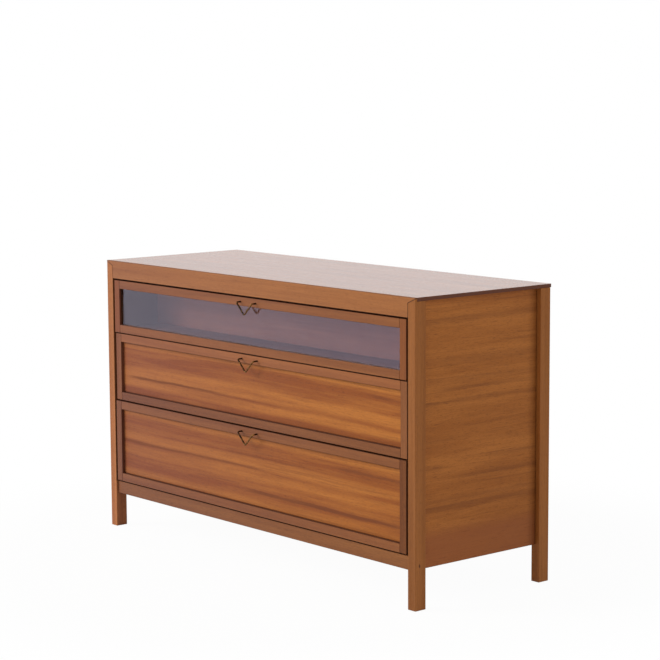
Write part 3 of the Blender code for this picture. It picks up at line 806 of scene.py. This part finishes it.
def drawer_wood(context):
    """Frames, panels, beads and boxes of the three drawers, and the back and dust panels."""
    tones = context.scene.chest_colours
    seed = 30.0
    for drawer in DRAWERS:
        glazed = drawer == "top_drawer"
        for piece, axis, grain in FRAME_PIECES:
            node = f"{drawer}_{piece}"
            finish = "stile" if node in WARM_STILES else "front"
            wood(node, axis, seed, finish, tones, grain, level=FRAME_LEVELS.get(node, 1.0),
                 extra=frame_paint(node, tones))
            seed += 1.0
        for piece, axis in BOX_PIECES:
            node = f"{drawer}_{piece}"
            # Painted shade on the inner faces of the top drawer's sides
            inside_shade = paint_inside_shade(node, tones) if glazed and "side" in piece else None
            wood(node, axis, seed, "inner", tones, INNER, extra=inside_shade)
            seed += 1.0
        # The bottom behind the pane is darkened as painted shade
        finish, level = ("divider", TOP_BOTTOM_SHADE) if glazed else ("plywood", 1.0)
        wood(f"{drawer}_bottom", X, seed, finish, tones, PLY, level=level)
        seed += 1.0
    for drawer, bands, grain, level in PANELS:
        wood(f"{drawer}_panel", X, seed, "panel", tones, grain, bands=bands, level=level,
             extra=panel_paint(drawer, tones))
        seed += 1.0
    for bead, axis in BEADS:
        # The beads are darkened as painted shade
        wood(f"top_drawer_{bead}_bead", axis, seed, "front", tones, STRAIGHT, level=BEAD_SHADE)
        seed += 1.0
    wood("top_drawer_divider", X, seed, "divider", tones, INNER, extra=paint_divider_shade)
    for node in ("back_panel", "dust_panel"):
        seed += 1.0
        wood(node, X, seed, "plywood", tones, PLY)


# Modelling by hand

WIRE_SIDES = 18
THREAD_CORE = 0.84   # how thick the wire is between two threads, as a share of its diameter
BEND_STEPS = 10
NUT_TURNING = 1.10   # the diameter to which a nut's corners are turned, as a share of its width over flats
NUT_BEVEL = 0.16     # bevel of the turned corners, as a share of the nut's thickness
NUT_PLAY = 0.0002    # between the wire and the nut's bore
PIN_DEPTH = 0.0008
PIN_BEVEL = 0.0003
PIN_PROUD = 0.0003   # from the panel's face to the middle of a pin's head
PIN_INSET = 0.004    # from the panel's edge to the pins
ON_EDGE = (math.radians(90), 0, 0)  # turns a cylinder to lie along Y

PATCHES = 170, 170, 170      # patches of tarnish in a metre
PATCH_STEP = 0.28, 0.56
FINE = 1400, 1400, 1400      # scratches in a metre
LEG_LIGHT_SPAN = -0.006, 0.016  # from a pull's left leg in painted shade to its right one with a painted highlight
PRONG_SHADE_SPAN = 0.005, 0.008    # behind a pull's front, where the painted shade on its prongs begins and is full


def start_fresh():
    """Leaves edit mode and deselects everything."""
    if bpy.context.object and bpy.context.object.mode != "OBJECT":
        bpy.ops.object.mode_set(mode="OBJECT")
    bpy.ops.object.select_all(action="DESELECT")


def take(piece):
    """Selects one piece alone and makes it active."""
    start_fresh()
    piece.select_set(True)
    bpy.context.view_layer.objects.active = piece


def facing(place, way, track):
    """The matrix of something that stands at a place and whose track axis looks along a way."""
    return Matrix.Translation(place) @ way.to_track_quat(track, "Y").to_matrix().to_4x4()


def finish_piece(piece, name, body, material):
    """Puts a piece's place in its mesh, names it and lets it ride on its body."""
    take(piece)
    bpy.ops.object.transform_apply(location=True, rotation=True, scale=True)
    piece.name = name
    piece.data.name = name
    piece.data.materials.clear()
    piece.data.materials.append(material)
    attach(piece, body)


def brass_finish(context, rubbed_and_lit):
    """Old brass: bright where rubbing has bared it, brown where it has tarnished. The second argument is
    for pulls, whose right legs get a painted highlight and whose left legs and prongs get painted shade."""
    tones = context.scene.chest_colours
    material, shader = new_material("aged_brass")
    place = shader.place()
    patch = shader.noise(shader.mapping(place, PATCHES), 3.0, 0.6)
    patch = shader.smooth(patch, *PATCH_STEP)
    if rubbed_and_lit:
        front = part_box("top_drawer_pull")[0][Y]
        # Painted highlight on each pull's right leg; painted shade on its left leg and its prongs, over the
        # tarnish
        right = shader.smooth(shader.part(place, "X"), *LEG_LIGHT_SPAN)
        prong_shade = shader.smooth(shader.part(place, "Y") - front, *PRONG_SHADE_SPAN)
        patch = patch * (1.0 - right * 0.35) + (1.0 - patch) * (1.0 - right) * 0.5
        patch = shader.most(patch, prong_shade * 0.9)
    fine = shader.noise(shader.mapping(place, FINE), 2.0, 0.6)
    surface = shader.principled(
        Base_Color=shader.mix(patch, tones.brass, tones.tarnish), Metallic=1.0,
        Roughness=0.24 + patch * 0.20 + (fine - 0.5) * 0.12,
        Normal=shader.bump(fine, 0.15, 0.00005))
    shader.show(surface)
    return material


def extrude(step):
    bpy.ops.mesh.extrude_region_move(TRANSFORM_OT_translate={"value": step})


def bent_wire(corners, radius, bend, thread, pitch):
    """A round wire through the corners with a rounded bend at each, threaded at both ends."""
    start_fresh()
    direction = (corners[1] - corners[0]).normalized()
    bpy.ops.mesh.primitive_circle_add(
        vertices=WIRE_SIDES, radius=radius * THREAD_CORE, fill_type="NGON", location=(0, 0, 0))
    piece = bpy.context.object
    piece.matrix_world = facing(corners[0], direction, "Z")
    bpy.ops.object.transform_apply(location=True, rotation=True, scale=True)
    bpy.ops.object.mode_set(mode="EDIT")
    bpy.ops.mesh.select_mode(type="FACE")
    bpy.ops.mesh.select_all(action="SELECT")
    turns = round(thread / pitch)

    def cut_thread(here, first, second):
        """Adds the threaded length from here on, its end scaled by first and second in turn."""
        for turn in range(turns):
            for share in (first, second):
                extrude(direction * pitch / 2)
                here = here + direction * pitch / 2
                if share == first or turn < turns - 1:
                    bpy.ops.transform.resize(value=(share, share, share), center_override=here)
        return here

    here = cut_thread(corners[0], 1 / THREAD_CORE, THREAD_CORE)
    for before, corner, after in zip(corners, corners[1:], corners[2:]):
        arrive = (corner - before).normalized()
        leave = (after - corner).normalized()
        turn = arrive.angle(leave)
        back = bend * math.tan(turn / 2)
        extrude(corner - arrive * back - here)
        inward = (leave - arrive).normalized()
        centre = corner + inward * (bend / math.cos(turn / 2))
        axis = arrive.cross(leave).normalized()
        bpy.ops.mesh.spin(steps=BEND_STEPS, angle=-turn, center=centre, axis=axis, dupli=False)
        here = corner + leave * back
        direction = leave

    thread_start = corners[-1] - direction * pitch * turns
    extrude(thread_start - here)
    cut_thread(thread_start, THREAD_CORE, 1 / THREAD_CORE)
    bpy.ops.mesh.select_all(action="SELECT")
    bpy.ops.mesh.remove_doubles(threshold=0.000001)
    bpy.ops.mesh.normals_make_consistent(inside=False)
    bpy.ops.object.mode_set(mode="OBJECT")
    bpy.ops.object.shade_smooth_by_angle(angle=math.radians(38))
    return piece


def hex_nut(flats, thickness, bore, middle):
    """A nut across the Y axis, its corners turned off and its bore open."""
    start_fresh()
    bpy.ops.mesh.primitive_cylinder_add(
        vertices=6, radius=flats / math.sqrt(3), depth=thickness, location=middle, rotation=ON_EDGE)
    nut = bpy.context.object
    bpy.ops.mesh.primitive_cylinder_add(
        vertices=36, radius=flats / 2 * NUT_TURNING, depth=thickness, location=middle, rotation=ON_EDGE)
    turned = bpy.context.object
    bpy.ops.object.mode_set(mode="EDIT")
    bpy.ops.mesh.select_all(action="SELECT")
    bpy.ops.mesh.bevel(offset=thickness * NUT_BEVEL, segments=2, affect="EDGES", clamp_overlap=True)
    bpy.ops.object.mode_set(mode="OBJECT")
    bpy.ops.mesh.primitive_cylinder_add(
        vertices=24, radius=bore, depth=thickness * 3, location=middle, rotation=ON_EDGE)
    drill = bpy.context.object
    take(nut)
    for tool, operation in ((turned, "INTERSECT"), (drill, "DIFFERENCE")):
        change = nut.modifiers.new("shape", "BOOLEAN")
        change.operation = operation
        change.object = tool
        change.solver = "EXACT"
        bpy.ops.object.modifier_apply(modifier=change.name)
        bpy.data.objects.remove(tool)
    bpy.ops.object.shade_smooth_by_angle(angle=math.radians(30))
    return nut


def pulls(context):
    """The three bent wire pulls and their nuts."""
    sizes = context.scene.chest_sizes
    brass = brass_finish(context, True)
    for drawer in DRAWERS:
        low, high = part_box(drawer + "_pull")
        radius = sizes.wire / 2
        half = (high[X] - low[X]) / 2 - radius
        height = high[Z] - radius
        front = low[Y] + radius
        corners = [
            Vector((-half, high[Y], height)),
            Vector((-half, front, height)),
            Vector((0, front, height - sizes.drop)),
            Vector((half, front, height)),
            Vector((half, high[Y], height)),
        ]
        wire = bent_wire(corners, radius, sizes.bend, sizes.thread, sizes.pitch)
        finish_piece(wire, drawer + "_wire_pull", drawer, brass)
        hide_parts(drawer + "_pull")
        for side in SIDES:
            node = f"{drawer}_pull_{side}_nut"
            nut_low, nut_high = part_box(node)
            middle = (nut_low + nut_high) / 2
            nut = hex_nut(sizes.nut_flats, nut_high[Y] - nut_low[Y], radius + NUT_PLAY, middle)
            finish_piece(nut, f"{drawer}_{side}_hex_nut", drawer, brass)
            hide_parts(node)


def pin_head(diameter, place):
    """A panel pin's low domed head on a face that looks to the back."""
    start_fresh()
    bpy.ops.mesh.primitive_cylinder_add(
        vertices=16, radius=diameter / 2, depth=PIN_DEPTH, location=place, rotation=ON_EDGE)
    pin = bpy.context.object
    bpy.ops.object.mode_set(mode="EDIT")
    bpy.ops.mesh.select_mode(type="FACE")
    bpy.ops.mesh.select_all(action="SELECT")
    bpy.ops.mesh.bevel(offset=PIN_BEVEL, segments=2, affect="EDGES", clamp_overlap=True)
    bpy.ops.object.mode_set(mode="OBJECT")
    bpy.ops.object.shade_smooth_by_angle(angle=math.radians(35))
    return pin


def panel_pins(context):
    """Small pins round the edge of the back panel."""
    sizes = context.scene.chest_sizes
    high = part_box("back_panel")[1]
    edge_x = high[X] - PIN_INSET
    rows = [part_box("back_bottom_rail"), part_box("back_top_rail")]
    heights = [(row[0][Z] + row[1][Z]) / 2 for row in rows]
    face = high[Y] + PIN_PROUD
    spots = []
    count = math.ceil(2 * edge_x / sizes.pin_spacing)
    for step in range(count + 1):
        across = -edge_x + 2 * edge_x * step / count
        for height in heights:
            spots.append((across, height))
    rise = heights[1] - heights[0]
    count = math.ceil(rise / sizes.pin_spacing)
    for step in range(1, count):
        for sign in (-1, 1):
            spots.append((sign * edge_x, heights[0] + rise * step / count))
    pins = [pin_head(sizes.pin_head, (across, face, height)) for across, height in spots]
    start_fresh()
    for pin in pins:
        pin.select_set(True)
    bpy.context.view_layer.objects.active = pins[0]
    bpy.ops.object.join()
    finish_piece(bpy.context.object, "back_panel_pins", "carcass", brass_finish(context, False))


# Studio

WHITE = 1.0, 1.0, 1.0
ROOM_TINT = 1.0, 0.99, 0.97
FILL_TINT = 1.0, 0.97, 0.93
KEY_PLACE = -8.0, -9.6, 6.4
KEY_SIZE = 6.0
FILL_PLACE = 3.6, -0.6, 2.2
FILL_SIZE = 2.0
LAMP_TARGET = 0.0, 0.0, 0.4
FLOOR_WHITE = 0.965        # how white the camera sees the floor near the chest
SHADOW_REACH = 0.75, 1.3   # from the chest's middle to where the shadow is full and ends


def seen(shader):
    """1 where the camera looks, straight, through glass or by reflection, and 0 for light on things."""
    share = shader.node("ShaderNodeLightPath", out="Is Camera Ray")
    for path in ("Is Glossy Ray", "Is Transmission Ray"):
        share = shader.most(share, shader.node("ShaderNodeLightPath", out=path))
    return share


def studio_floor(context):
    """A pale floor that shows white to the camera and keeps a faint shadow near the chest."""
    stage = context.scene.chest_stage
    start_fresh()
    bpy.ops.mesh.primitive_plane_add(size=stage.floor_size, location=(0, 0, 0))
    floor = bpy.context.object
    floor.name = "studio_floor"
    material, shader = new_material("floor_paint")
    far = shader.smooth(shader.reach(shader.place()), *SHADOW_REACH)
    paint = shader.node("ShaderNodeBsdfDiffuse", {}, {"Color": context.scene.chest_colours.floor})
    white = shader.node("ShaderNodeEmission", {}, {"Color": WHITE, "Strength": 1.0})
    share = seen(shader) * (FLOOR_WHITE + far * (1.0 - FLOOR_WHITE))
    shader.show(shader.node("ShaderNodeMixShader", {}, {0: share, 1: paint, 2: white}))
    floor.data.materials.append(material)


def studio_room(context):
    """White behind the chest and an even, softer light from all round."""
    world = bpy.data.worlds.new("studio_room")
    world.use_nodes = True
    context.scene.world = world
    shader = Shader(world.node_tree)
    soft = shader.node(
        "ShaderNodeBackground", {}, {"Color": ROOM_TINT, "Strength": context.scene.chest_stage.room})
    white = shader.node("ShaderNodeBackground", {}, {"Color": WHITE, "Strength": 1.0})
    both = shader.node("ShaderNodeMixShader", {}, {0: seen(shader), 1: soft, 2: white})
    shader.show(both, "ShaderNodeOutputWorld")


def soft_lamp(name, place, size, power, colour):
    """A soft square lamp that looks at the chest, out of the camera's sight."""
    lamp = bpy.data.lights.new(name, "AREA")
    lamp.shape = "SQUARE"
    lamp.size = size
    lamp.energy = power
    lamp.color = colour
    obj = bpy.data.objects.new(name, lamp)
    obj.visible_camera = False
    bpy.context.scene.collection.objects.link(obj)
    obj.matrix_world = facing(place, Vector(LAMP_TARGET) - Vector(place), "-Z")


def camera(context):
    """The camera, at the photograph's viewing angle."""
    stage = context.scene.chest_stage
    lens = bpy.data.cameras.new("camera")
    lens.sensor_width = 36
    lens.lens = stage.lens
    obj = bpy.data.objects.new("camera", lens)
    context.scene.collection.objects.link(obj)
    obj.matrix_world = (
        Matrix.Translation(stage.place)
        @ Matrix.Rotation(stage.yaw, 4, "Z")
        @ Matrix.Rotation(math.pi / 2 - stage.pitch, 4, "X")
        @ Matrix.Rotation(stage.roll, 4, "Z"))
    context.scene.camera = obj


# Operators, in the order they are called

class CHEST_OT_carcass(bpy.types.Operator):
    """Finish the posts, rails, top and side panels"""

    bl_idname = "chest.carcass"
    bl_label = "Carcass wood"

    def execute(self, context):
        carcass_wood(context)
        return {"FINISHED"}


class CHEST_OT_drawers(bpy.types.Operator):
    """Finish the drawer frames, panels, boxes and runners, and the back and dust panels"""

    bl_idname = "chest.drawers"
    bl_label = "Drawer wood"

    def execute(self, context):
        drawer_wood(context)
        return {"FINISHED"}


class CHEST_OT_glass(bpy.types.Operator):
    """Finish the pane of the top drawer"""

    bl_idname = "chest.glass"
    bl_label = "Glass"

    def execute(self, context):
        glass_pane(context)
        return {"FINISHED"}


class CHEST_OT_pulls(bpy.types.Operator):
    """Model the bent wire pulls and their nuts"""

    bl_idname = "chest.pulls"
    bl_label = "Pulls"

    def execute(self, context):
        pulls(context)
        return {"FINISHED"}


class CHEST_OT_pins(bpy.types.Operator):
    """Model the pins that hold the back panel"""

    bl_idname = "chest.pins"
    bl_label = "Panel pins"

    def execute(self, context):
        panel_pins(context)
        return {"FINISHED"}


class CHEST_OT_stage(bpy.types.Operator):
    """Set up floor, room, lamps and camera"""

    bl_idname = "chest.stage"
    bl_label = "Studio"

    def execute(self, context):
        stage = context.scene.chest_stage
        studio_floor(context)
        studio_room(context)
        soft_lamp("key_lamp", KEY_PLACE, KEY_SIZE, stage.key_power, ROOM_TINT)
        soft_lamp("fill_lamp", FILL_PLACE, FILL_SIZE, stage.fill_power, FILL_TINT)
        camera(context)
        context.scene.view_settings.view_transform = "Standard"
        return {"FINISHED"}


class CHEST_PT_sidebar(bpy.types.Panel):
    """Lists the steps and the values of the chest"""

    bl_idname = "CHEST_PT_sidebar"
    bl_label = "Chest of drawers"
    bl_space_type = "VIEW_3D"
    bl_region_type = "UI"
    bl_category = "Chest"

    def draw(self, context):
        for operator in OPERATORS:
            self.layout.operator(operator.bl_idname)
        for group in (context.scene.chest_colours, context.scene.chest_sizes, context.scene.chest_stage):
            box = self.layout.box()
            for name in group.__annotations__:
                box.prop(group, name)


OPERATORS = (
    CHEST_OT_carcass, CHEST_OT_drawers, CHEST_OT_glass, CHEST_OT_pulls, CHEST_OT_pins, CHEST_OT_stage)
GROUPS = {"chest_colours": ChestColours, "chest_sizes": ChestSizes, "chest_stage": ChestStage}


def register():
    for name, group in GROUPS.items():
        bpy.utils.register_class(group)
        setattr(bpy.types.Scene, name, bpy.props.PointerProperty(type=group))
    for operator in OPERATORS:
        bpy.utils.register_class(operator)
    bpy.utils.register_class(CHEST_PT_sidebar)


def unregister():
    bpy.utils.unregister_class(CHEST_PT_sidebar)
    for operator in reversed(OPERATORS):
        bpy.utils.unregister_class(operator)
    for name, group in GROUPS.items():
        delattr(bpy.types.Scene, name)
        bpy.utils.unregister_class(group)


def main():
    register()
    bpy.ops.chest.carcass()
    bpy.ops.chest.drawers()
    bpy.ops.chest.glass()
    bpy.ops.chest.pulls()
    bpy.ops.chest.pins()
    bpy.ops.chest.stage()


if __name__ == "__main__":
    main()
